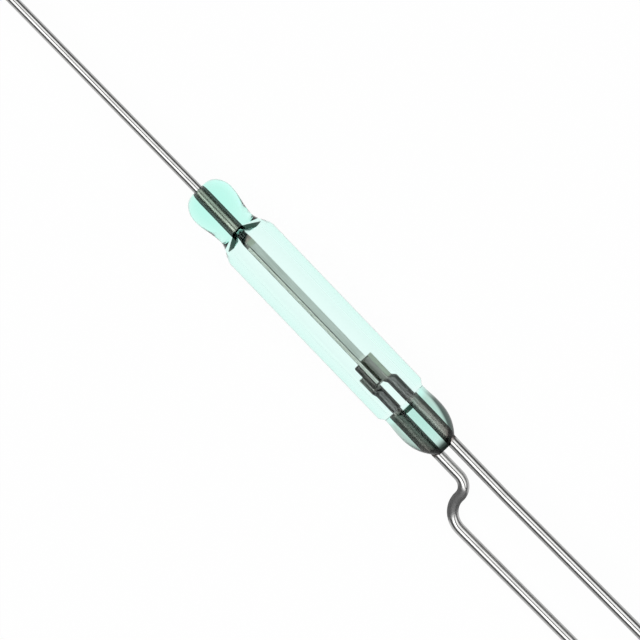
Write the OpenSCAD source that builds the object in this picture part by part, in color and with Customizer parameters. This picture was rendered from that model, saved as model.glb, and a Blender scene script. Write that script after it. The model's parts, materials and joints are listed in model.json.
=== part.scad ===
// Glass reed switch of the changeover kind, lying on a table.
// The glass axis is X, with the two fixed leads at +X, and the origin is the middle of the glass.
// Everything is drawn with the lead plane flat in XY and then rolled about X, to where the switch
// comes to rest on its tube and on the jogged lead.

/* [Glass] */
// Outside diameter of the tube
tube_d = 2.42; // [2.2:0.01:3]
// Wall of the tube
tube_wall = 0.36; // [0.2:0.01:0.4]
// Length of the glass over both seals
glass_l = 14.7; // [12:0.1:20]

/* [Seal of the common lead] */
// Length of the seal, from the end of the glass to the full tube
common_seal_l = 3.2; // [2.8:0.05:4]
// Diameter of the bulb of melted glass round the lead
bulb_d = 2.09; // [1.6:0.01:2.2]
// Length of the rounded end of the bulb
bulb_end_l = 0.85; // [0.5:0.05:1]
// Diameter of the flat spot that the lead leaves
bulb_flat_d = 0.68; // [0.6:0.01:0.9]
// Diameter of the waist between the bulb and the tube
waist_d = 1.72; // [1.5:0.01:2]
// Distance from the end of the glass to the waist
waist_x = 2.23; // [1.8:0.01:2.5]
// Distance from the start of the full tube to the start of the full bore
common_bore_x = 0.1; // [0:0.01:0.3]
// Length of the cavity's pointed end, from its tip inside the lead to the full bore
cavity_point_l = 1; // [0.8:0.01:1.2]
// Length of the cone at the tip
point_cone_l = 0.47; // [0.3:0.01:0.5]
// Diameter of the cone where it curves into the bore
point_cone_d = 1.28; // [1:0.01:1.3]

/* [Seal of the fixed leads] */
// Length of the seal, from the full tube to the end of the glass
fixed_seal_l = 2.85; // [2.6:0.05:4]
// Diameter at the dent where the tube was closed in
dent_d = 2.1; // [1.9:0.01:2.2]
// Distance from the full tube to the bottom of the dent
dent_x = 0.32; // [0.2:0.01:0.5]
// Diameter of the bulge beyond the dent
bulge_d = 2.2; // [2:0.01:2.4]
// Length of the domed end beyond the bulge
dome_l = 1.65; // [1.2:0.05:1.8]
// Diameter of the flat spot at the end of the dome
dome_flat_d = 0.86; // [0.7:0.01:1.2]
// Distance from the end of the full bore to the end of the full tube
fixed_bore_x = 0.05; // [0:0.01:0.3]
// Length of the cavity's blunt end, from the full bore to its tip between the leads
cavity_blunt_l = 0.77; // [0.6:0.01:0.9]
// Length of the cone at the tip
blunt_cone_l = 0.24; // [0.15:0.01:0.3]
// Diameter of the cone where it curves into the bore
blunt_cone_d = 1.1; // [0.9:0.01:1.2]
// Diameter of the flat spot at the tip
blunt_flat_d = 0.3; // [0.2:0.01:0.5]

/* [Leads] */
// Length over the ends of the leads
overall_l = 53.4; // [44:0.1:60]
// Diameter of the common lead
common_d = 0.42; // [0.3:0.01:0.5]
// Diameter of the two fixed leads
fixed_d = 0.48; // [0.3:0.01:0.55]
// Distance between the fixed leads inside the seal
seal_pitch = 0.86; // [0.7:0.01:0.9]
// How far the leads and blades lie off the tube's axis, towards the closed contact
lead_offset = 0.045; // [0:0.005:0.1]
// Distance between the fixed leads beyond the jog
lead_pitch = 2.54; // [2:0.01:3.5]
// Straight stretch between the glass and the jog
jog_start = 1.15; // [0.5:0.05:3]
// Radius of the jog's first right-angle bend, on the wire's centre line
jog_in_r = 0.65; // [0.5:0.05:1]
// Radius of the jog's second right-angle bend, which is looser
jog_out_r = 1; // [0.5:0.05:1.2]
// Straight stretch between the glass or the jog and the set of a lead
set_start = 0.3; // [0.2:0.05:1]
// Radius of the slight bend that sets a lead to one side
set_r = 3; // [1:0.5:6]
// Angle at which the common lead has been set to one side
common_set = 0.6; // [0.2:0.1:3]
// Angle at which the fixed leads have been set to one side
fixed_set = 1.1; // [0.2:0.1:3]

/* [Armature] */
// Length of the flat blade
armature_l = 7.7; // [6:0.05:7.8]
// Width of the flat blade
armature_w = 0.73; // [0.5:0.01:0.9]
// Thickness of the flat blade
armature_t = 0.19; // [0.12:0.01:0.22]
// Length over which the round wire is swaged to the flat
armature_swage_l = 0.42; // [0.2:0.01:0.6]
// Distance from the full tube to the root of the blade, inside the pointed end of the cavity
armature_root_x = 0.03; // [0:0.01:0.2]
// Length of flat that stays with the lead, behind the root
root_flat_l = 0.1; // [0.05:0.01:0.2]

/* [Contacts] */
// Gap between the armature and the open contact
contact_gap = 0.05; // [0.03:0.01:0.12]
// Clearance left where the armature rests on the closed contact
rest_clearance = 0.01; // [0.005:0.005:0.02]
// Overlap of the armature's tip and the open contact's flat
open_overlap = 1.18; // [0.8:0.01:1.5]
// Width of the open contact's flat
open_w = 0.5; // [0.4:0.01:0.8]
// Thickness of the open contact's flat
open_t = 0.3; // [0.2:0.01:0.36]
// Length of the open contact's flat
open_l = 1.18; // [0.9:0.01:1.5]
// Overlap of the armature's tip and the closed contact's flat
closed_overlap = 0.65; // [0.4:0.01:1]
// Width of the closed contact's flat and its plate
closed_w = 0.72; // [0.5:0.01:0.8]
// Thickness of the closed contact's flat
closed_t = 0.24; // [0.16:0.01:0.3]
// Length of the closed contact's flat
closed_l = 0.75; // [0.6:0.01:1]
// Thickness of the plate welded to the closed contact
plate_t = 0.23; // [0.1:0.005:0.25]
// Length of the plate
plate_l = 1.19; // [0.8:0.01:1.4]
// Distance that the plate stands out past the closed contact's flat
plate_reach = 0.49; // [0.2:0.01:0.6]
// Length over which a fixed lead is swaged to its flat
fixed_swage_l = 0.25; // [0.15:0.01:0.4]
// Radius of the corners at a flat's tip
tip_r = 0.08; // [0.02:0.01:0.12]
// Radius along the edges of a flat
edge_r = 0.045; // [0.02:0.005:0.05]

/* [Hidden] */
$fn = 48;
// Steps of a curved stretch in a turned profile
curve_steps = 10;
// Depth to which a swage or a core reaches into what it joins, and cuts reach past what they cut
lap = 0.02;
// How far a core and the ends of a swage lie under the skin of the wire and the flat
skin = 0.012;
glass_end = glass_l / 2;
tube_r = tube_d / 2;
bore_r = tube_r - tube_wall;
common_r = common_d / 2;
fixed_r = fixed_d / 2;
lead_end = overall_l / 2;
// Where the full tube starts and ends
tube_x0 = -glass_end + common_seal_l;
tube_x1 = glass_end - fixed_seal_l;
// Where the full bore starts and ends
bore_x0 = tube_x0 + common_bore_x;
bore_x1 = tube_x1 - fixed_bore_x;
// Places along the blades
root_x = tube_x0 - armature_root_x;
armature_tip = root_x + armature_l;
open_tip = armature_tip - open_overlap;
closed_tip = armature_tip - closed_overlap;
plate_tip = closed_tip - plate_reach;
// Centre of each flat across the lead plane, stacked on the armature with the gaps between them
open_y = armature_t / 2 + contact_gap + open_t / 2;
plate_y = -(armature_t / 2 + rest_clearance + plate_t / 2);
closed_y = plate_y - plate_t / 2 - closed_t / 2;
// The jog: two right-angle bends with a straight between them, down to where the leads are at their pitch
jog_x = glass_end + jog_start;
jog_drop = lead_pitch / cos(fixed_set) - seal_pitch;
jog_fit = min(1, 0.98 * jog_drop / (jog_in_r + jog_out_r));
bend_in_r = jog_fit * jog_in_r;
bend_out_r = jog_fit * jog_out_r;
jog_l = jog_drop - bend_in_r - bend_out_r;
jog_end = jog_x + bend_in_r + bend_out_r;
// Where the leads take their set: the common lead beyond the glass, the fixed leads together beyond the jog
common_set_x = glass_end + set_start;
fixed_set_x = jog_end + set_start;
// The roll that lays the jogged lead on the table beside the tube
rest_roll = asin((tube_r - fixed_r) / (lead_offset + seal_pitch / 2 + jog_drop));

// A soft step from 0 to 1
function ease(t) = (1 - cos(180 * t)) / 2;
// A stretch of outline from one radius to the next, flat at both ends
function swell(x0, r0, x1, r1) =
    [for (i = [1:curve_steps]) let (t = i / curve_steps) [x0 + (x1 - x0) * t, r0 + (r1 - r0) * ease(t)]];
// A quarter of an ellipse, from its full radius to a flat end
function rounded_end(x0, r0, x1, r1) =
    [for (i = [1:curve_steps]) let (a = 90 * i / curve_steps)
        [x0 + (x1 - x0) * sin(a), r1 + (r0 - r1) * cos(a)]];
// A stretch that starts flat and draws in ever more steeply, as melted glass does towards its tip
function drawn_in(x0, r0, x1, r1) =
    [for (i = [1:curve_steps]) let (t = i / curve_steps) [x0 + (x1 - x0) * t, r0 - (r0 - r1) * pow(t, 2.5)]];
// An end of the cavity from its flat tip, over a cone, to a curve that runs into the bore. The curve leaves
// the cone and meets the bore smoothly, because both lines point at its corner.
function funnel(tip_x, tip_r, cone_x, cone_r, bore_x) =
    let (corner = cone_x + (bore_r - cone_r) * (cone_x - tip_x) / (cone_r - tip_r))
    concat([[tip_x, 0], [tip_x, tip_r], [cone_x, cone_r]],
        [for (i = [1:curve_steps]) let (t = i / curve_steps, s = 1 - t)
            [s * s * cone_x + 2 * s * t * corner + t * t * bore_x, s * s * cone_r + (1 - s * s) * bore_r]]);
// The same stretch read from its far end
function reversed(points) = [for (i = [len(points) - 1:-1:0]) points[i]];

// Lays the switch down as it rests
module at_rest() {
    rotate([rest_roll, 0, 0]) children();
}

// Moves from the tube's axis to the line of the common lead
module off_axis() {
    translate([0, -lead_offset, 0]) children();
}

// Turns a profile of [x, radius] points about the X axis
module turned(profile) {
    rotate([0, 90, 0]) rotate([0, 0, 90]) rotate_extrude($fn = 96)
        polygon([for (p = profile) [p.y, p.x]]);
}

// A straight length of wire from one X to another
module wire(r, x0, x1) {
    translate([x0, 0, 0]) rotate([0, 90, 0]) cylinder(r = r, h = x1 - x0);
}

// A bend of wire that starts at the origin along +X and turns to the left, or to the right if negative.
// At both ends a core runs on into the next length of wire, so that they join through more than a face.
module wire_bend(r, bend, angle) {
    mirror([0, angle < 0 ? 1 : 0, 0]) translate([0, bend, 0]) rotate([0, 0, -90])
        rotate_extrude(angle = abs(angle)) translate([bend, 0]) circle(r);
    wire(r - skin, -lap, lap);
    after_bend(bend, angle) wire(r - skin, -lap, lap);
}

// Moves on to the far end of such a bend and faces along the wire there
module after_bend(bend, angle) {
    translate([bend * sin(abs(angle)), sign(angle) * bend * (1 - cos(angle)), 0]) rotate([0, 0, angle])
        children();
}

// The outer end of a lead: the slight bend of its set, then straight on, over a run along X
module set_tail(r, angle, run) {
    wire_bend(r, set_r, angle);
    after_bend(set_r, angle) wire(r, 0, (run - set_r * sin(angle)) / cos(angle));
}

// The section of a swaged flat: thickness across, width upwards, with rounded edges
module flat_section(w, t) {
    square([t, w - 2 * edge_r], center = true);
    square([t - 2 * edge_r, w], center = true);
    for (x = [-1, 1], y = [-1, 1]) translate([x * (t / 2 - edge_r), y * (w / 2 - edge_r)]) circle(edge_r);
}

// Stands a section up across the X axis
module along_x(x0, x1) {
    translate([x0, 0, 0]) rotate([90, 0, 90]) linear_extrude(x1 - x0) children();
}

// The face of a flat, with rounded corners at the tips that are asked for
module flat_face(x0, x1, w, round_start, round_end) {
    r = min(tip_r, w / 2);
    difference() {
        translate([x0, -w / 2]) square([x1 - x0, w]);
        for (end = [[x0, 1, round_start], [x1, -1, round_end]], side = [-1, 1])
            if (end[2]) translate([end.x, side * w / 2]) difference() {
                square(2 * r, center = true);
                translate([end.y * r, -side * r]) circle(r);
            }
    }
}

// A swaged flat along X, with the outline of its face cut through it
module swaged_flat(x0, x1, w, t, round_start = false, round_end = false) {
    intersection() {
        along_x(x0, x1) flat_section(w, t);
        rotate([90, 0, 0]) linear_extrude(2 * t, center = true)
            flat_face(x0, x1, w, round_start, round_end);
    }
}

// The stretch where round wire that ends at one X becomes a flat that ends at another
module swage(wire_x, wire_y, r, flat_x, flat_y, w, t) {
    $fn = 32;
    hull() {
        translate([wire_x, wire_y, 0]) rotate([0, 90, 0])
            cylinder(r = r - skin, h = 2 * lap, center = true);
        translate([0, flat_y, 0]) along_x(flat_x - lap, flat_x + lap)
            flat_section(w - 2 * skin, t - 2 * skin);
    }
}

// The two fixed leads run beside each other through their seal
module open_side() {
    translate([0, seal_pitch / 2, 0]) children();
}

module closed_side() {
    translate([0, -seal_pitch / 2, 0]) children();
}

// Outline of the glass, from its rounded bulb to its dome
glass_outline = concat(
    [[-glass_end, 0]],
    reversed(concat([[-glass_end + bulb_end_l, bulb_d / 2]],
        rounded_end(-glass_end + bulb_end_l, bulb_d / 2, -glass_end, bulb_flat_d / 2))),
    swell(-glass_end + bulb_end_l, bulb_d / 2, -glass_end + waist_x, waist_d / 2),
    swell(-glass_end + waist_x, waist_d / 2, tube_x0, tube_r),
    [[tube_x1, tube_r]],
    swell(tube_x1, tube_r, tube_x1 + dent_x, dent_d / 2),
    swell(tube_x1 + dent_x, dent_d / 2, glass_end - dome_l, bulge_d / 2),
    drawn_in(glass_end - dome_l, bulge_d / 2, glass_end, dome_flat_d / 2),
    [[glass_end, 0]]
);

// Outline of the sealed cavity, pointed along the common lead and blunt between the fixed leads
point_x = bore_x0 - cavity_point_l;
blunt_x = bore_x1 + cavity_blunt_l;
cavity_outline = concat(
    funnel(point_x, common_r - lead_offset, point_x + point_cone_l, point_cone_d / 2, bore_x0),
    reversed(funnel(blunt_x, blunt_flat_d / 2, blunt_x - blunt_cone_l, blunt_cone_d / 2, bore_x1))
);

// Tube with both ends melted down on the leads
module glass_envelope() {
    color([0.66, 0.86, 0.83, 0.4]) at_rest() difference() {
        turned(glass_outline);
        turned(cavity_outline);
        off_axis() {
            wire(common_r, -glass_end - lap, bore_x0);
            open_side() wire(fixed_r, bore_x1, glass_end + lap);
            closed_side() wire(fixed_r, bore_x1, glass_end + lap);
        }
    }
}

// Common lead: a round wire whose inner end is swaged down to the root of the blade
module common_lead() {
    color("silver") at_rest() off_axis() {
        flat_x = root_x - root_flat_l;
        swage_x = flat_x - armature_swage_l;
        swaged_flat(flat_x, root_x, armature_w, armature_t);
        swage(swage_x, 0, common_r, flat_x, 0, armature_w, armature_t);
        wire(common_r, -common_set_x, swage_x);
        translate([-common_set_x, 0, 0]) rotate([0, 0, 180])
            set_tail(common_r, common_set, lead_end - common_set_x);
    }
}

// Armature: the springy flat of the common wire, which bends between the two contacts
module armature_blade() {
    color("lightgray") at_rest() off_axis()
        swaged_flat(root_x, armature_tip, armature_w, armature_t, round_end = true);
}

// Open contact's lead: straight, with its flat set in beside the armature
module normally_open_lead() {
    color("silver") at_rest() off_axis() {
        flat_end = open_tip + open_l;
        swage_end = flat_end + fixed_swage_l;
        translate([0, open_y, 0]) swaged_flat(open_tip, flat_end, open_w, open_t, round_start = true);
        swage(swage_end, seal_pitch / 2, fixed_r, flat_end, open_y, open_w, open_t);
        open_side() {
            wire(fixed_r, swage_end, fixed_set_x);
            translate([fixed_set_x, 0, 0]) set_tail(fixed_r, fixed_set, lead_end - fixed_set_x);
        }
    }
}

// Closed contact's lead: jogged outside the glass to stand off at the pitch
module normally_closed_lead() {
    color("silver") at_rest() off_axis() {
        flat_end = closed_tip + closed_l;
        swage_end = flat_end + fixed_swage_l;
        translate([0, closed_y, 0]) swaged_flat(closed_tip, flat_end, closed_w, closed_t, round_start = true);
        swage(swage_end, -seal_pitch / 2, fixed_r, flat_end, closed_y, closed_w, closed_t);
        closed_side() {
            wire(fixed_r, swage_end, jog_x);
            translate([jog_x, 0, 0]) jog_and_tail();
        }
    }
}

// The jog, followed bend by bend along the wire, and the tail behind it
module jog_and_tail() {
    wire_bend(fixed_r, bend_in_r, -90);
    after_bend(bend_in_r, -90) {
        wire(fixed_r, 0, jog_l);
        translate([jog_l, 0, 0]) {
            wire_bend(fixed_r, bend_out_r, 90);
            after_bend(bend_out_r, 90) {
                wire(fixed_r, 0, set_start);
                translate([set_start, 0, 0]) set_tail(fixed_r, fixed_set, lead_end - fixed_set_x);
            }
        }
    }
}

// Plate of non-magnetic metal welded to the closed contact, on which the armature rests
module contact_plate() {
    color("gray") at_rest() off_axis() translate([0, plate_y, 0]) rotate([90, 0, 0])
        linear_extrude(plate_t, center = true)
            flat_face(plate_tip, plate_tip + plate_l, closed_w, true, true);
}

glass_envelope();
common_lead();
armature_blade();
normally_open_lead();
normally_closed_lead();
contact_plate();
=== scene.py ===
import json
import math
import bmesh
import bpy
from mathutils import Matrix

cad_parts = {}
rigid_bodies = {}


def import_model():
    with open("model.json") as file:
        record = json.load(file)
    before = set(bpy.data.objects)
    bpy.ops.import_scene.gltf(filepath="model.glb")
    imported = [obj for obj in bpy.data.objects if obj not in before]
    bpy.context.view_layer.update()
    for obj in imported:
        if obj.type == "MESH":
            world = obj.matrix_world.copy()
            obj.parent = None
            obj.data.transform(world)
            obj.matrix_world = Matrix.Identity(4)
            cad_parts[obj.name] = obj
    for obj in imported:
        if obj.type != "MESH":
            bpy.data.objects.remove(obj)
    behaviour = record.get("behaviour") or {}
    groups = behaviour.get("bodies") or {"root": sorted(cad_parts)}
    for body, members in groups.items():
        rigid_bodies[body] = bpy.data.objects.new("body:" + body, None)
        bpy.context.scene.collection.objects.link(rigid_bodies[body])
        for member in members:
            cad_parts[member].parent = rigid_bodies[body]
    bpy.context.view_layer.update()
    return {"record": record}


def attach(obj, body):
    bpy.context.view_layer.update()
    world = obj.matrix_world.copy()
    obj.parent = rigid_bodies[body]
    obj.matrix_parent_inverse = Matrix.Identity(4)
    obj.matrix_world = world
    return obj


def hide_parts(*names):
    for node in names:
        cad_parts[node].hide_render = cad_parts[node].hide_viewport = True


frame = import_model()

# Common lead: a nickel-iron wire, tinned where it leaves the glass. Its inner end is swaged down to a short
# flat, from which the armature springs, and the bulb of the glass is fused to it. Like all the metal it is
# drawn in millimetres with the plane of the leads flat, and then laid down as the switch rests.
COMMON_RADIUS = 0.21
COMMON_SWAGE = -4.70
COMMON_SET = -7.65
COMMON_SET_ANGLE = math.radians(0.6)
SET_RADIUS = 3.0
LEAD_END = 26.7
LEAD_OFFSET = 0.045
ROOT = -4.18
ROOT_FLAT = 0.10
ARMATURE_WIDTH = 0.73
ARMATURE_THICK = 0.19
SIDES = 40
NEAR = 1e-4
hinge = frame["record"]["behaviour"]["joints"][0]["axis"]
REST_ROLL = math.atan2(-hinge[1], hinge[2])


def start_wire(name, radius, x, y):
    """A new piece, begun as an open ring of wire that faces along X."""
    bpy.ops.object.select_all(action="DESELECT")
    bpy.ops.mesh.primitive_circle_add(vertices=SIDES, radius=radius, location=(x, y, 0),
                                      rotation=(0, math.pi / 2, 0))
    piece = bpy.context.object
    piece.name = piece.data.name = name
    bpy.ops.object.transform_apply(location=True, rotation=True, scale=True)
    bpy.ops.object.mode_set(mode="EDIT")
    bpy.ops.mesh.select_mode(type="EDGE")
    bpy.ops.mesh.select_all(action="SELECT")
    return piece


BEND_STEP = math.radians(5)


def draw_wire(x, y, heading, steps):
    """Draws the open ring on. A number is a straight run, and a pair a bend's radius and angle to the left."""
    for step in steps:
        if isinstance(step, tuple):
            radius, angle = step
            side = math.copysign(1, angle)
            centre = (x - side * radius * math.sin(heading), y + side * radius * math.cos(heading), 0)
            bpy.ops.mesh.spin(steps=max(3, round(abs(angle) / BEND_STEP)), angle=abs(angle),
                              center=centre, axis=(0, 0, -side))
            heading += angle
            x = centre[0] + side * radius * math.sin(heading)
            y = centre[1] - side * radius * math.cos(heading)
        else:
            move = (step * math.cos(heading), step * math.sin(heading), 0)
            bpy.ops.mesh.extrude_region_move(TRANSFORM_OT_translate={"value": move})
            x, y = x + move[0], y + move[1]


CUT_DEPTH = 0.03
CUT_STEPS = ((0.12, 0.65), (0.3, 0.35))


def cut_end(radius):
    """Closes the ring with the slightly rounded face that the cutter leaves, in steps of width and depth."""
    bpy.ops.mesh.edge_face_add()
    for width, depth in CUT_STEPS:
        bpy.ops.mesh.inset(thickness=width * radius, depth=depth * CUT_DEPTH)


EDGE_ROUND = 0.045


def add_flat(piece, x0, x1, y, width, thick):
    """Adds a swaged flat between two places along the wire, with the rounded edges that the rolls leave."""
    bpy.ops.mesh.select_all(action="DESELECT")
    bpy.ops.mesh.primitive_cube_add(size=1, location=((x0 + x1) / 2, y, 0),
                                    scale=(abs(x1 - x0), thick, width))
    low, high = min(x0, x1), max(x0, x1)
    mesh = bmesh.from_edit_mesh(piece.data)
    bpy.ops.mesh.select_mode(type="EDGE")
    for edge in mesh.edges:
        a, b = (v.co for v in edge.verts)
        lengthways = abs(a.x - b.x) > 0.99 * (high - low) and abs(a.y - b.y) < NEAR and abs(a.z - b.z) < NEAR
        within = low - NEAR < min(a.x, b.x) and max(a.x, b.x) < high + NEAR
        edge.select_set(lengthways and within and abs(abs(a.z) - width / 2) < NEAR)
    bmesh.update_edit_mesh(piece.data)
    bpy.ops.mesh.bevel(offset=EDGE_ROUND, segments=SIDES // 4 - 1, affect="EDGES", clamp_overlap=True)


def open_end(piece, x, y, thick):
    """Takes away the end face of a flat, so that a swage can run on from its outline."""
    bpy.ops.mesh.select_all(action="DESELECT")
    bpy.ops.mesh.select_mode(type="FACE")
    mesh = bmesh.from_edit_mesh(piece.data)
    for face in mesh.faces:
        centre = face.calc_center_median()
        at_end = abs(face.normal.x) > 0.99 and abs(centre.x - x) < NEAR
        face.select_set(at_end and abs(centre.y - y) < thick / 2)
    bmesh.update_edit_mesh(piece.data)
    bpy.ops.mesh.delete(type="ONLY_FACE")


SWAGE_CUTS = 10
SWAGE_SMOOTHNESS = 0.8


def swage():
    """Joins the open outline of the flat to the open ring of the wire."""
    bpy.ops.mesh.select_mode(type="EDGE")
    bpy.ops.mesh.select_all(action="DESELECT")
    bpy.ops.mesh.select_non_manifold()
    bpy.ops.mesh.bridge_edge_loops(number_cuts=SWAGE_CUTS, interpolation="SURFACE",
                                   smoothness=SWAGE_SMOOTHNESS)


SMOOTH_METAL = math.radians(35)


def lay_down(piece):
    """Ends the modelling: faces outwards, off the tube's axis, rolled as the switch rests, in metres."""
    bpy.ops.mesh.select_all(action="SELECT")
    bpy.ops.mesh.remove_doubles(threshold=NEAR)
    bpy.ops.mesh.normals_make_consistent(inside=False)
    bpy.ops.transform.translate(value=(0, -LEAD_OFFSET, 0))
    bpy.ops.object.mode_set(mode="OBJECT")
    piece.rotation_euler = (REST_ROLL, 0, 0)
    piece.scale = (0.001, 0.001, 0.001)
    bpy.ops.object.transform_apply(location=True, rotation=True, scale=True)
    bpy.ops.object.shade_smooth_by_angle(angle=SMOOTH_METAL)
    bpy.ops.object.modifier_add(type="WEIGHTED_NORMAL")
    piece.modifiers[-1].keep_sharp = True
    bpy.ops.object.modifier_apply(modifier=piece.modifiers[-1].name)


def beyond_set(start, angle):
    """Length of a lead from the end of its slight bend to its cut end."""
    return (LEAD_END - start - SET_RADIUS * math.sin(angle)) / math.cos(angle)


common_lead = start_wire("common_wire", COMMON_RADIUS, COMMON_SWAGE, 0)
draw_wire(COMMON_SWAGE, 0, math.pi, [
    COMMON_SWAGE - COMMON_SET,
    (SET_RADIUS, COMMON_SET_ANGLE),
    beyond_set(-COMMON_SET, COMMON_SET_ANGLE) - CUT_DEPTH])
cut_end(COMMON_RADIUS)
add_flat(common_lead, ROOT - ROOT_FLAT, ROOT, 0, ARMATURE_WIDTH, ARMATURE_THICK)
open_end(common_lead, ROOT - ROOT_FLAT, 0, ARMATURE_THICK)
swage()
lay_down(common_lead)


class Shade:
    """One output in a node tree. Sums and products of them add Math nodes, make() adds any other node."""

    def __init__(self, tree, socket=None):
        self.tree = tree
        self.socket = socket

    def make(self, kind, settings=None, inputs=None, out=0):
        node = self.tree.nodes.new(kind)
        for name, value in (settings or {}).items():
            setattr(node, name, value)
        for name, value in (inputs or {}).items():
            if isinstance(value, Shade):
                self.tree.links.new(value.socket, node.inputs[name])
            else:
                node.inputs[name].default_value = value
        return Shade(self.tree, node.outputs[out]) if len(node.outputs) else node

    def maths(self, operation, a, b):
        return self.make("ShaderNodeMath", {"operation": operation}, {0: a, 1: b})

    def __add__(self, other):
        return self.maths("ADD", self, other)

    def __radd__(self, other):
        return self.maths("ADD", other, self)

    def __sub__(self, other):
        return self.maths("SUBTRACT", self, other)

    def __rsub__(self, other):
        return self.maths("SUBTRACT", other, self)

    def __mul__(self, other):
        return self.maths("MULTIPLY", self, other)

    def __rmul__(self, other):
        return self.maths("MULTIPLY", other, self)

    def __abs__(self):
        return self.make("ShaderNodeMath", {"operation": "ABSOLUTE"}, {0: self})

    def step(self, start, end):
        """0 before start and 1 after end, with a soft step between."""
        return self.make("ShaderNodeMapRange", {"interpolation_type": "SMOOTHSTEP"},
                         {"Value": self, "From Min": start, "From Max": end})

    def past(self, start, end):
        """The same step, between two places in millimetres."""
        return self.step(start / 1000, end / 1000)

    def mix(self, a, b):
        """Colour a where this is 0, and b where it is 1."""
        a, b = (c if isinstance(c, Shade) else (*c, 1) for c in (a, b))
        return self.make("ShaderNodeMix", {"data_type": "RGBA"}, {0: self, 6: a, 7: b}, out=2)


def new_finish(name):
    """An empty material, and where its maths starts."""
    material = bpy.data.materials.new(name)
    material.use_nodes = True
    material.node_tree.nodes.clear()
    return material, Shade(material.node_tree)


def noise(at, scales, detail=2.0):
    """Noise on a piece's own coordinates, with so many grains to the metre along each axis."""
    place = at.make("ShaderNodeMapping", inputs={"Vector": at, "Scale": scales})
    return at.make("ShaderNodeTexNoise", inputs={"Vector": place, "Scale": 1.0, "Detail": detail})


def flat_edges(finish):
    """1 on the narrow edges of a swaged flat, and 0 on its faces."""
    across_flat = (0, -math.sin(REST_ROLL), math.cos(REST_ROLL))
    normal = finish.make("ShaderNodeTexCoord", out="Normal")
    return abs(finish.make("ShaderNodeVectorMath", {"operation": "DOT_PRODUCT"},
                           {0: normal, 1: across_flat}, out="Value"))


# The tin is bright, with fine lines along the wire from the drawing die, and has a band of painted shade
# inside its rims. Where the jog was bent it is rougher and painted dark as painted shade. Inside the glass the
# wire is bare,
# because it is tinned only after sealing: satin, with painted shade at its round rims, in the cavity and on
# the closed contact's lead in the dome, and darkest, as painted shade, at the common lead's swage. Where it is
# pressed flat, its faces are painted paler as lit and its narrow edges darker as shaded. Places are in
# millimetres along the tube or beside it.
TIN = (0.68, 0.68, 0.67)
TIN_CLOUD = (0.56, 0.56, 0.55)
TIN_RIM_SHADE = (0.45, 0.45, 0.45)
TIN_JOG_SHADE = (0.19, 0.19, 0.19)
BARE = (0.52, 0.42, 0.38)
BARE_CLOUD = (0.38, 0.30, 0.27)
BARE_RIM_SHADE = (0.13, 0.12, 0.115)
BARE_CAVITY_SHADE = (0.22, 0.20, 0.20)
BARE_SWAGE_SHADE = (0.075, 0.075, 0.072)
SEALED_CLOSED_SHADE = (0.20, 0.17, 0.16)
SEALED_OPEN_LIT = (0.40, 0.365, 0.345)
FLAT_FACE_LIT = (0.54, 0.56, 0.48)
FLAT_EDGE_SHADE = (0.36, 0.335, 0.315)
GLASS_END = 7.35
TIN_STARTS = (GLASS_END - 0.12, GLASS_END + 0.02)
ABOVE_JOG = (-0.8, -0.55)
JOG_ENDS = (9.4, 9.75)
BULB_WIRE_ENDS = (-5.2, -5.0)
SWAGE_STARTS = (-5.08, -5.0)
SWAGE_ENDS = (-4.56, -4.46)
COMMON_ROUND_ENDS = (-4.72, -4.4)
ROOT_FLAT_STARTS = (-4.42, -4.3)
FIXED_FLATS_END = (3.5, 3.62)
FIXED_ROUND_STARTS = (3.5, 3.8)
IN_CAVITY_STARTS = (3.5, 3.65)
IN_CAVITY_ENDS = (4.75, 5.1)
SEALED_STARTS = (4.8, 5.1)
BETWEEN_LEADS = (-0.1, 0.0)

wire_finish, wire = new_finish("tinned_wire")
at = wire.make("ShaderNodeTexCoord", out="Object")
along = at.make("ShaderNodeSeparateXYZ", inputs={0: at}, out="X")
beside = at.make("ShaderNodeSeparateXYZ", inputs={0: at}, out="Y")
turned = wire.make("ShaderNodeLayerWeight", inputs={"Blend": 0.5}, out="Facing")
lines = noise(at, (250, 26000, 26000))
clouds = noise(at, (1500, 3000, 3000), detail=3)
outside = abs(along).past(*TIN_STARTS)
dull_and_shaded_jog = (1 - beside.past(*ABOVE_JOG)) * (1 - along.past(*JOG_ENDS))
tin = clouds.step(0.4, 0.75).mix(TIN, TIN_CLOUD)
# Painted shade: a dark band just inside the tin's rims, for the dim room that they mirror.
tin = (turned.step(0.12, 0.24) * (1 - turned.step(0.34, 0.6))).mix(tin, TIN_RIM_SHADE)
# Painted shade: the jog's cross stretch is painted dark grey for the dim room it mirrors; it is also made
# rougher.
tin = dull_and_shaded_jog.mix(tin, TIN_JOG_SHADE)
in_cavity = along.past(*IN_CAVITY_STARTS) * (1 - along.past(*IN_CAVITY_ENDS))
# Lit and shaded copies: in the dome's seal the closed contact's lead is painted darker than the open one, as
# painted shade.
sealed_lit_and_shaded = beside.past(*BETWEEN_LEADS).mix(SEALED_CLOSED_SHADE, SEALED_OPEN_LIT)
still_round = along.past(*FIXED_ROUND_STARTS) + (1 - along.past(*COMMON_ROUND_ENDS))
flat = along.past(*ROOT_FLAT_STARTS) * (1 - along.past(*FIXED_FLATS_END))
# Lit and shaded copies: the flats' faces are painted paler and their narrow edges darker, as painted light and
# shade.
pressed = flat_edges(wire).step(0.3, 0.8).mix(FLAT_FACE_LIT, FLAT_EDGE_SHADE)
swaged = along.past(*SWAGE_STARTS) * (1 - (along + beside).past(*SWAGE_ENDS))
bare = clouds.step(0.35, 0.7).mix(BARE, BARE_CLOUD)
# Painted shade: the bare wire in the cavity is painted darker.
bare = in_cavity.mix(bare, BARE_CAVITY_SHADE)
bare = along.past(*SEALED_STARTS).mix(bare, sealed_lit_and_shaded)
# Painted shade: the round bare wire is painted dark at its rims, less so in the cavity.
bare = (still_round * (1 - 0.7 * in_cavity) * turned.step(0.06, 0.32)).mix(bare, BARE_RIM_SHADE)
bare = flat.mix(bare, pressed)
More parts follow.
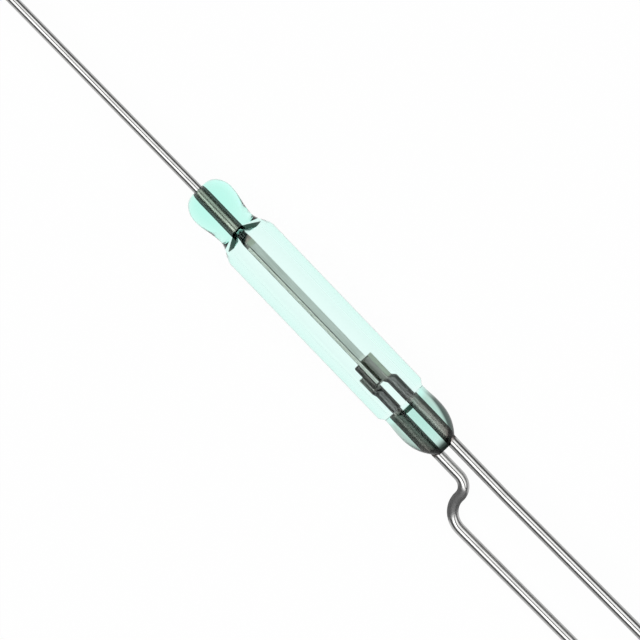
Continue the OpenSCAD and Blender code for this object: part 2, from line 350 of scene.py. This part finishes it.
# Painted shade: the common lead's swage is painted nearly black, for the dim room that its faces mirror.
bare = swaged.mix(bare, BARE_SWAGE_SHADE)
satin = 0.14 + 0.16 * along.past(*BULB_WIRE_ENDS)
bump = lines.make("ShaderNodeBump", inputs={"Strength": 0.05, "Distance": 2e-6, "Height": lines})
surface = wire.make("ShaderNodeBsdfPrincipled", inputs={
    "Base Color": outside.mix(bare, tin),
    "Metallic": 1.0,
    "Roughness": 0.06 + (1 - outside) * satin + 0.08 * lines + 0.05 * clouds + 0.4 * dull_and_shaded_jog,
    "Specular Tint": (0.4, 0.4, 0.4, 1),
    "Normal": bump,
})
wire.make("ShaderNodeOutputMaterial", inputs={"Surface": surface})

common_lead.data.materials.append(wire_finish)
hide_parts("common_lead")
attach(common_lead, "switch_body")

# Armature: the springy flat of the common wire, pressed thin so that a magnet can bend it over to the open
# contact. Its tip is sheared with rounded corners and plated where it touches. It rides on the hinge at its
# root, and stands a hair off the common lead's flat there, so that the two never cut into each other.
ARMATURE_TIP = 3.52
TIP_CORNER = 0.08
TIP_CUTS = (18, 45, 72)
ROOT_GAP = 0.002


def start_empty(name):
    """A new piece with nothing in it yet, in edit mode."""
    bpy.ops.object.select_all(action="DESELECT")
    bpy.ops.mesh.primitive_plane_add(size=0.1, location=(0, 0, 0))
    piece = bpy.context.object
    piece.name = piece.data.name = name
    bpy.ops.object.mode_set(mode="EDIT")
    bpy.ops.mesh.delete(type="VERT")
    return piece


def round_tip(piece, x, width, outwards):
    """Cuts the two corners at a flat's tip round, with a few straight cuts each."""
    for side in (-1, 1):
        for turn in TIP_CUTS:
            bpy.ops.mesh.select_all(action="DESELECT")
            bpy.ops.mesh.select_mode(type="FACE")
            mesh = bmesh.from_edit_mesh(piece.data)
            for face in mesh.faces:
                depths = [outwards * (x - v.co.x) for v in face.verts]
                face.select_set(min(depths) > -NEAR and max(depths) < ARMATURE_TIP - ROOT + 10 * NEAR)
            bmesh.update_edit_mesh(piece.data)
            out_x = outwards * math.cos(math.radians(turn))
            out_z = side * math.sin(math.radians(turn))
            cut_x = x - outwards * TIP_CORNER + TIP_CORNER * out_x
            cut_z = side * (width / 2 - TIP_CORNER) + TIP_CORNER * out_z
            bpy.ops.mesh.bisect(plane_co=(cut_x, 0, cut_z), plane_no=(out_x, 0, out_z),
                                use_fill=True, clear_outer=True, threshold=1e-5)


armature = start_empty("armature_reed")
add_flat(armature, ROOT + ROOT_GAP, ARMATURE_TIP, 0, ARMATURE_WIDTH, ARMATURE_THICK)
round_tip(armature, ARMATURE_TIP, ARMATURE_WIDTH, 1)
lay_down(armature)

SATIN = (0.60, 0.61, 0.58)
SATIN_LINE = (0.47, 0.48, 0.45)
SATIN_CORNER_SHADE = (0.16, 0.15, 0.14)
SATIN_EDGE_HIGHLIGHT = (0.97, 0.94, 0.88)
PLATING = (0.66, 0.66, 0.62)
PLATING_STARTS = (ARMATURE_TIP - 1.35, ARMATURE_TIP - 1.25)

blade_finish, blade = new_finish("swaged_blade")
at = blade.make("ShaderNodeTexCoord", out="Object")
along = at.make("ShaderNodeSeparateXYZ", inputs={0: at}, out="X")
lines = noise(at, (400, 16000, 16000))
clouds = noise(at, (900, 2500, 2500), detail=3)
plated = along.past(*PLATING_STARTS)
satin = (0.6 * lines + 0.4 * clouds).step(0.35, 0.7).mix(SATIN, SATIN_LINE)
edges = flat_edges(blade)
# Painted highlight: the armature's narrow edges are painted nearly white.
narrow = edges.step(0.9, 0.99)
# Painted shade: the rounded corners between the armature's faces and edges are painted dark.
corner = edges.step(0.1, 0.35) * (1 - narrow)
bump = lines.make("ShaderNodeBump", inputs={"Strength": 0.2, "Distance": 2e-6, "Height": lines})
surface = blade.make("ShaderNodeBsdfPrincipled", inputs={
    "Base Color": corner.mix(narrow.mix(plated.mix(satin, PLATING), SATIN_EDGE_HIGHLIGHT), SATIN_CORNER_SHADE),
    "Metallic": 1.0,
    "Roughness": 0.3 - 0.06 * plated + 0.12 * lines + 0.25 * narrow,
    "Normal": bump,
})
blade.make("ShaderNodeOutputMaterial", inputs={"Surface": surface})

armature.data.materials.append(blade_finish)
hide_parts("armature_blade")
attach(armature, "armature")

# Open contact's lead: a thicker nickel-iron wire, straight from the glass outwards, with a slight set further
# out. Its inner end is swaged to a stout flat over the armature's tip, with the contact gap between them, and
# the dome of the glass is fused to it.
FIXED_RADIUS = 0.24
FIXED_SET = 10.45
FIXED_SET_ANGLE = math.radians(1.1)
SEAL_HALF_PITCH = 0.43
OPEN_TIP = 2.34
OPEN_FLAT_END = 3.52
OPEN_SWAGE_END = 3.77
OPEN_Y = 0.295
OPEN_WIDTH = 0.5
OPEN_THICK = 0.3

open_lead = start_wire("open_contact_wire", FIXED_RADIUS, OPEN_SWAGE_END, SEAL_HALF_PITCH)
draw_wire(OPEN_SWAGE_END, SEAL_HALF_PITCH, 0, [
    FIXED_SET - OPEN_SWAGE_END,
    (SET_RADIUS, FIXED_SET_ANGLE),
    beyond_set(FIXED_SET, FIXED_SET_ANGLE) - CUT_DEPTH])
cut_end(FIXED_RADIUS)
add_flat(open_lead, OPEN_TIP, OPEN_FLAT_END, OPEN_Y, OPEN_WIDTH, OPEN_THICK)
open_end(open_lead, OPEN_FLAT_END, OPEN_Y, OPEN_THICK)
round_tip(open_lead, OPEN_TIP, OPEN_WIDTH, -1)
swage()
lay_down(open_lead)

open_lead.data.materials.append(wire_finish)
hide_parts("normally_open_lead")
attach(open_lead, "switch_body")

# Closed contact's lead: the same wire, swaged to a wider flat that carries the contact plate under the
# armature's tip. Outside the glass it is jogged by two right-angle bends, so that it stands off from the open
# contact's lead at the pitch of a circuit board's holes.
LEAD_PITCH = 2.54
CLOSED_TIP = 2.87
CLOSED_FLAT_END = 3.62
CLOSED_SWAGE_END = 3.87
CLOSED_Y = -0.455
CLOSED_WIDTH = 0.72
CLOSED_THICK = 0.24
JOG_START = 8.5
JOG_IN = 0.65
JOG_OUT = 1.0
JOG_END = JOG_START + JOG_IN + JOG_OUT
JOG_RUN = LEAD_PITCH / math.cos(FIXED_SET_ANGLE) - 2 * SEAL_HALF_PITCH - JOG_IN - JOG_OUT

closed_lead = start_wire("closed_contact_wire", FIXED_RADIUS, CLOSED_SWAGE_END, -SEAL_HALF_PITCH)
draw_wire(CLOSED_SWAGE_END, -SEAL_HALF_PITCH, 0, [
    JOG_START - CLOSED_SWAGE_END,
    (JOG_IN, -math.pi / 2),
    JOG_RUN,
    (JOG_OUT, math.pi / 2),
    FIXED_SET - JOG_END,
    (SET_RADIUS, FIXED_SET_ANGLE),
    beyond_set(FIXED_SET, FIXED_SET_ANGLE) - CUT_DEPTH])
cut_end(FIXED_RADIUS)
add_flat(closed_lead, CLOSED_TIP, CLOSED_FLAT_END, CLOSED_Y, CLOSED_WIDTH, CLOSED_THICK)
open_end(closed_lead, CLOSED_FLAT_END, CLOSED_Y, CLOSED_THICK)
round_tip(closed_lead, CLOSED_TIP, CLOSED_WIDTH, -1)
swage()
lay_down(closed_lead)

closed_lead.data.materials.append(wire_finish)
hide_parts("normally_closed_lead")
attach(closed_lead, "switch_body")

# Contact plate: a small stamping of non-magnetic metal with rounded corners, welded to the flat of the closed
# contact's lead. Without a magnet the armature rests on its upper face, which has a thin cladding.
PLATE_START = 2.38
PLATE_END = 3.57
PLATE_TOP = -0.105
PLATE_THICK = 0.23
PLATE_WIDTH = 0.72
PLATE_RIM = 0.02

bpy.ops.object.select_all(action="DESELECT")
bpy.ops.mesh.primitive_cube_add(
    size=1, location=((PLATE_START + PLATE_END) / 2, PLATE_TOP - PLATE_THICK / 2, 0),
    scale=(PLATE_END - PLATE_START, PLATE_THICK, PLATE_WIDTH))
plate = bpy.context.object
plate.name = plate.data.name = "contact_plate_stamping"
bpy.ops.object.transform_apply(location=True, rotation=True, scale=True)
bpy.ops.object.mode_set(mode="EDIT")
bpy.ops.mesh.select_mode(type="EDGE")
bpy.ops.mesh.select_all(action="DESELECT")
mesh = bmesh.from_edit_mesh(plate.data)
for edge in mesh.edges:
    edge.select_set(abs(edge.verts[0].co.y - edge.verts[1].co.y) > PLATE_THICK / 2)
bmesh.update_edit_mesh(plate.data)
bpy.ops.mesh.bevel(offset=TIP_CORNER, segments=6, affect="EDGES")
bpy.ops.mesh.select_all(action="DESELECT")
mesh = bmesh.from_edit_mesh(plate.data)
for face in mesh.faces:
    face.select_set(abs(face.normal.y) > 0.99)
bmesh.update_edit_mesh(plate.data)
bpy.ops.mesh.region_to_loop()
bpy.ops.mesh.bevel(offset=PLATE_RIM, segments=3, affect="EDGES")
lay_down(plate)

PLATE_GREY = (0.20, 0.175, 0.168)
PLATE_GRAIN = (0.13, 0.112, 0.108)
PLATE_CLAD = (0.62, 0.61, 0.58)
CLAD_STARTS = (PLATE_TOP - 0.05, PLATE_TOP - 0.04)

plate_finish, stamping = new_finish("clad_plate")
at = stamping.make("ShaderNodeTexCoord", out="Object")
level = at.make("ShaderNodeMapping", {"vector_type": "POINT"},
                {"Vector": at, "Rotation": (-REST_ROLL, 0, 0)})
above = level.make("ShaderNodeSeparateXYZ", inputs={0: level}, out="Y")
grain = noise(level, (9000, 30000, 9000), detail=3)
scratches = noise(level, (900, 20000, 20000))
clad = above.past(*CLAD_STARTS)
base = grain.step(0.35, 0.7).mix(PLATE_GREY, PLATE_GRAIN)
relief = 0.6 * grain + 0.4 * scratches
bump = relief.make("ShaderNodeBump", inputs={"Strength": 0.25, "Distance": 2e-6, "Height": relief})
surface = stamping.make("ShaderNodeBsdfPrincipled", inputs={
    "Base Color": clad.mix(base, PLATE_CLAD),
    "Metallic": 1.0,
    "Roughness": 0.36 - 0.1 * clad + 0.12 * grain,
    "Normal": bump,
})
stamping.make("ShaderNodeOutputMaterial", inputs={"Surface": surface})

plate.data.materials.append(plate_finish)
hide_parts("contact_plate")
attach(plate, "switch_body")

# Glass envelope: a tube of pale blue-green glass, whose iron lets it be melted by infrared light. Both ends
# are melted down on the leads and fused to them, in a bulb and a waist at the common lead, and a shoulder and
# a dome at the fixed leads. Places along the tube and radii are in millimetres.
TUBE_RADIUS = 1.21
TUBE_START = -4.15
TUBE_END = 4.50
BULB = (-6.5, 1.045)
BULB_TIP = 0.34
WAIST = (-5.12, 0.86)
DENT = (4.82, 1.05)
DOME = (5.70, 1.10)
DOME_TIP = 0.43
DOME_POWER = 2.5
BORE_RADIUS = 0.85
COMMON_FUNNEL = ((-5.05, COMMON_RADIUS - LEAD_OFFSET), (-4.58, 0.64), -4.05)
FIXED_FUNNEL = ((5.22, 0.15), (4.98, 0.55), 4.45)
CURVE_STEPS = 20
CURVE = [i / CURVE_STEPS for i in range(1, CURVE_STEPS + 1)]
ROUND_STEPS = 128
SMOOTH_GLASS = math.radians(40)


def swell(x0, r0, x1, r1):
    """Outline from one radius to the next, flat at both ends."""
    return [(x0 + (x1 - x0) * t, r0 + (r1 - r0) * (1 - math.cos(math.pi * t)) / 2) for t in CURVE]


def rounded_end(x0, r0, x1, r1):
    """Outline of a quarter of an ellipse, from its full radius to a flat end."""
    quarter = math.pi / 2
    return [(x0 + (x1 - x0) * math.sin(quarter * t), r1 + (r0 - r1) * math.cos(quarter * t)) for t in CURVE]


def drawn_in(x0, r0, x1, r1):
    """Outline that starts flat and draws in ever more steeply, as melted glass does towards its tip."""
    return [(x0 + (x1 - x0) * t, r0 - (r0 - r1) * t ** DOME_POWER) for t in CURVE]


def funnel(tip, cone, bore):
    """Outline of an end of the cavity: a flat tip, a cone, and a curve from the cone into the bore."""
    slope = (cone[0] - tip[0]) / (cone[1] - tip[1])
    corner = cone[0] + (BORE_RADIUS - cone[1]) * slope
    outline = [(tip[0], 0), tip, cone]
    for t in CURVE:
        left = 1 - t
        x = left ** 2 * cone[0] + 2 * t * left * corner + t ** 2 * bore
        outline.append((x, left ** 2 * cone[1] + (1 - left ** 2) * BORE_RADIUS))
    return outline


def turn_on_lathe(outline):
    """Draws an outline of places and radii in the piece in hand, and spins it about the tube's axis."""
    bpy.ops.mesh.select_mode(type="VERT")
    bpy.ops.mesh.select_all(action="DESELECT")
    bpy.ops.mesh.primitive_plane_add(size=0.01, location=(*outline[0], 0))
    bpy.ops.mesh.merge(type="CENTER")
    for (x0, r0), (x1, r1) in zip(outline, outline[1:]):
        bpy.ops.mesh.extrude_vertices_move(TRANSFORM_OT_translate={"value": (x1 - x0, r1 - r0, 0)})
    bpy.ops.mesh.select_linked()
    bpy.ops.mesh.spin(steps=ROUND_STEPS, angle=2 * math.pi, center=(0, 0, 0), axis=(1, 0, 0))
    bpy.ops.mesh.select_linked()
    bpy.ops.mesh.remove_doubles(threshold=NEAR)
    bpy.ops.mesh.select_linked()
    bpy.ops.mesh.normals_make_consistent(inside=False)


glass_outline = [(-GLASS_END, 0)] + rounded_end(*BULB, -GLASS_END, BULB_TIP)[::-1] + [BULB]
glass_outline += swell(*BULB, *WAIST) + swell(*WAIST, TUBE_START, TUBE_RADIUS)
glass_outline += [(TUBE_END, TUBE_RADIUS)] + swell(TUBE_END, TUBE_RADIUS, *DENT) + swell(*DENT, *DOME)
glass_outline += drawn_in(*DOME, GLASS_END, DOME_TIP) + [(GLASS_END, 0)]
cavity_outline = funnel(*COMMON_FUNNEL) + funnel(*FIXED_FUNNEL)[::-1]

glass = start_empty("glass_tube")
turn_on_lathe(cavity_outline)
bpy.ops.mesh.flip_normals()
bpy.ops.mesh.hide(unselected=False)
turn_on_lathe(glass_outline)
bpy.ops.mesh.reveal(select=False)
bpy.ops.object.mode_set(mode="OBJECT")
glass.rotation_euler = (REST_ROLL, 0, 0)
glass.scale = (0.001, 0.001, 0.001)
bpy.ops.object.transform_apply(location=True, rotation=True, scale=True)
bpy.ops.object.shade_smooth_by_angle(angle=SMOOTH_GLASS)

# The glass takes its colour from its depth. The dome bends light less than the tube, which stands for a
# flattened seal. The dome carries painted shade away from its axis on one side and along its rim, and its tip
# is darker. The shoulder bends light as if the tube ran straight on, the cavity's blunt end is clear with a
# band of painted shade, and what its cone mirrors at the bulb is painted as a dark mark, a painted reflection.
GLASS_TINT = (0.03, 0.935, 0.745)
GLASS_PER_METRE = 330.0
TUBE_BENDING = 1.52
DOME_BENDING = 1.2
DOME_DARKENING = (0.016, 0.017, 0.016)
DOME_CLEAR = (1.0, 0.86, 0.88)
DOME_SHADE = (0.74, 0.68, 0.65)
BAND_SHADE = (0.2, 0.265, 0.235)
CONE_SHADE = (0.05, 0.085, 0.07)
WHITE = (1, 1, 1)
SHARP = 0.002
CONE_START = -5.2
CONE_END = -4.5
CONE_RIM = (0.76, 0.8)
SHOULDER_END = 4.8
RIM_STARTS = (4.6, 5.6)
RIM_WIDENS = (5.2, 6.4)
SMOKY_TIP = (6.8, 7.15)
MELTED_STARTS = (4.95, 5.3)
BAND_STARTS = (5.0, 5.03)
BLUNT_END = (5.3, 5.4)
BLUNT_RIM = (0.85, 0.9)


def from_place(along, place):
    """0 before a place along the tube and 1 from there on, with hardly any step."""
    return along.past(place, place + SHARP)


glass_finish, melt = new_finish("blue_green_glass")
at = melt.make("ShaderNodeTexCoord", out="Object")
normal = melt.make("ShaderNodeTexCoord", out="Normal")
turned = melt.make("ShaderNodeLayerWeight", inputs={"Blend": 0.5}, out="Facing")
leaving = melt.make("ShaderNodeNewGeometry", out="Backfacing")
along = at.make("ShaderNodeSeparateXYZ", inputs={0: at}, out="X")
shaded_side = at.make("ShaderNodeSeparateXYZ", inputs={0: normal}, out="Y").step(-0.3, 0.4)
from_axis = at.make("ShaderNodeVectorMath", {"operation": "MULTIPLY"}, {0: at, 1: (0, 1, 1)})
radius = at.make("ShaderNodeVectorMath", {"operation": "LENGTH"}, {0: from_axis}, out="Value")

cords = noise(at, (120, 2600, 2600))
flow = noise(at, (500, 700, 700), detail=1)
relief = 0.4 * cords + 0.6 * flow
bump = relief.make("ShaderNodeBump", inputs={"Strength": 0.06, "Distance": 1e-5, "Height": relief})

radial = at.make("ShaderNodeVectorMath", {"operation": "NORMALIZE"}, {0: from_axis})
side = at.make("ShaderNodeVectorMath", {"operation": "DOT_PRODUCT"}, {0: radial, 1: normal}, out="Value")
side = side.make("ShaderNodeMath", {"operation": "SIGN"}, {0: side})
radial = at.make("ShaderNodeVectorMath", {"operation": "SCALE"}, {0: radial, "Scale": side})
shoulder = from_place(along, TUBE_END) * (1 - from_place(along, SHOULDER_END))
tube_normal = melt.make("ShaderNodeMix", {"data_type": "VECTOR"}, {0: shoulder, 4: bump, 5: radial}, out=1)
tube = melt.make("ShaderNodeBsdfPrincipled", inputs={
    "Base Color": (*WHITE, 1),
    "Roughness": 0.0,
    "IOR": TUBE_BENDING,
    "Specular IOR Level": 0.05,
    "Specular Tint": (0, 0, 0, 1),
    "Transmission Weight": 1.0,
    "Normal": tube_normal,
})

# Painted shade: a dark rim along the dome's outline, widening towards the tip and strongest on one side; the
# tip is darker too.
rim = (turned + 0.14 * along.past(*RIM_WIDENS)).step(0.4, 0.56) * (0.3 + 0.7 * shaded_side)
darkened_dome = rim * along.past(*RIM_STARTS) + along.past(*SMOKY_TIP)
# Painted shade: the dome is painted darker away from its axis on one side.
shade = (turned.step(0.04, 0.3) * shaded_side).mix(DOME_CLEAR, DOME_SHADE)
dome_tint_and_shade = along.past(*MELTED_STARTS).mix(WHITE, shade)
dome = melt.make("ShaderNodeBsdfPrincipled", inputs={
    "Base Color": darkened_dome.mix(dome_tint_and_shade, DOME_DARKENING),
    "Roughness": 0.0,
    "IOR": DOME_BENDING,
    "Transmission Weight": 1.0,
    "Normal": bump,
})
in_dome = from_place(along, SHOULDER_END)
surface = melt.make("ShaderNodeMixShader", inputs={0: in_dome, 1: tube, 2: dome})

clear = melt.make("ShaderNodeBsdfTransparent", inputs={"Color": (*WHITE, 1)})
dark = melt.make("ShaderNodeBsdfTransparent", inputs={"Color": (*CONE_SHADE, 1)})
cone = from_place(along, CONE_START) * (1 - from_place(along, CONE_END)) * (1 - radius.past(*CONE_RIM))
mirrored = cone * leaving * turned.step(0.24, 0.26)
mark = melt.make("ShaderNodeMixShader", inputs={0: turned.step(0.45, 0.51), 1: dark, 2: clear})
surface = melt.make("ShaderNodeMixShader", inputs={0: mirrored, 1: surface, 2: mark})

shaded = melt.make("ShaderNodeBsdfTransparent", inputs={"Color": (*BAND_SHADE, 1)})
blunt = in_dome * (1 - along.past(*BLUNT_END)) * (1 - radius.past(*BLUNT_RIM))
# Painted shade: a dark band across the cavity's blunt end.
band = blunt * along.past(*BAND_STARTS)
blunt_end = melt.make("ShaderNodeMixShader", inputs={0: band, 1: clear, 2: shaded})
surface = melt.make("ShaderNodeMixShader", inputs={0: blunt, 1: surface, 2: blunt_end})

depth = melt.make("ShaderNodeVolumeAbsorption", inputs={
    "Color": (*GLASS_TINT, 1),
    "Density": GLASS_PER_METRE,
})
melt.make("ShaderNodeOutputMaterial", inputs={"Surface": surface, "Volume": depth})

glass.data.materials.append(glass_finish)
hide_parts("glass_envelope")
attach(glass, "switch_body")

# Table: a plain white sheet that the tube and the jogged lead rest on. It is white where it is seen directly,
# through the glass or mirrored, except at a shallow angle, and keeps a faint shadow of the switch.
TABLE_SIZE = 4
TABLE_WHITE = 0.97
TABLE_GREY = (0.9, 0.9, 0.9)

bpy.ops.object.select_all(action="DESELECT")
bpy.ops.mesh.primitive_plane_add(size=TABLE_SIZE, location=(0, 0, -TUBE_RADIUS / 1000))
table = bpy.context.object
table.name = "white_table"
bpy.ops.object.transform_apply(location=True, rotation=True, scale=True)

table_finish, sheet = new_finish("white_sheet")
seen = sheet.make("ShaderNodeLightPath", out="Is Camera Ray")
through = sheet.make("ShaderNodeLightPath", out="Is Transmission Ray")
mirrored = sheet.make("ShaderNodeLightPath", out="Is Glossy Ray")
polished = sheet.make("ShaderNodeLightPath", out="Is Singular Ray")
shallow = sheet.make("ShaderNodeLayerWeight", inputs={"Blend": 0.5}, out="Facing")
in_glass = (through + mirrored * polished) * (1 - shallow.step(0.8, 0.95))
in_metal = mirrored * (1 - polished) * (1 - shallow.step(0.42, 0.62))
white = TABLE_WHITE * seen + in_glass + in_metal
matt = sheet.make("ShaderNodeBsdfDiffuse", inputs={"Color": (*TABLE_GREY, 1)})
glow = sheet.make("ShaderNodeEmission", inputs={"Color": (*WHITE, 1), "Strength": 1.0})
lit = sheet.make("ShaderNodeMixShader", inputs={0: white, 1: matt, 2: glow})
sheet.make("ShaderNodeOutputMaterial", inputs={"Surface": lit})
table.data.materials.append(table_finish)

# Studio light: two soft boxes side by side over the table, with a gap between them for the camera, in a dim
# room. The room is white where it is seen directly or through the glass. Sizes and places are in metres.
BOX_LENGTH = 1.6
BOX_WIDTH = 0.33
BOX_SIDE = 0.235
BOX_HEIGHT = 0.4
BOXES = (("soft_box_near", -1, 3.07), ("soft_box_far", 1, 2.0))
ROOM_GREY = (0.14, 0.14, 0.14)

for name, side, watts in BOXES:
    lamp = bpy.data.lights.new(name, "AREA")
    lamp.shape = "RECTANGLE"
    lamp.size = BOX_LENGTH
    lamp.size_y = BOX_WIDTH
    lamp.energy = watts
    box = bpy.data.objects.new(name, lamp)
    box.location = (0, side * BOX_SIDE, BOX_HEIGHT)
    box.visible_camera = False
    bpy.context.scene.collection.objects.link(box)

room = bpy.data.worlds.new("dim_room")
room.use_nodes = True
room.node_tree.nodes.clear()
air = Shade(room.node_tree)
seen = air.make("ShaderNodeLightPath", out="Is Camera Ray")
through = air.make("ShaderNodeLightPath", out="Is Transmission Ray")
reflections = air.make("ShaderNodeLightPath", out="Glossy Depth")
white = seen + through * (1 - reflections.step(0.0, 1.0))
around = air.make("ShaderNodeBackground", inputs={"Color": white.mix(ROOM_GREY, WHITE), "Strength": 1.0})
air.make("ShaderNodeOutputWorld", inputs={"Surface": around})
bpy.context.scene.world = room
bpy.context.scene.view_settings.view_transform = "Standard"

# Camera: straight above, turned so that the tube lies across the picture from the top left to the bottom
# right, and far enough off that the view is nearly parallel. Its height and aim are in millimetres.
PICTURE_WIDTH = 640
PIXELS_PER_MM = 24.4
CAMERA_HEIGHT = 400.0
CAMERA_AIM = (-0.03, -0.131)
CAMERA_TURN = math.radians(46.2)

eye = bpy.data.cameras.new("camera")
eye.sensor_width = 36.0
eye.lens = eye.sensor_width * CAMERA_HEIGHT / (PICTURE_WIDTH / PIXELS_PER_MM)
eye.clip_start = 0.01
eye.clip_end = 10.0
camera = bpy.data.objects.new("camera", eye)
camera.location = (CAMERA_AIM[0] / 1000, CAMERA_AIM[1] / 1000, CAMERA_HEIGHT / 1000)
camera.rotation_euler = (0, 0, CAMERA_TURN)
bpy.context.scene.collection.objects.link(camera)
bpy.context.scene.camera = camera

bpy.context.view_layer.update()
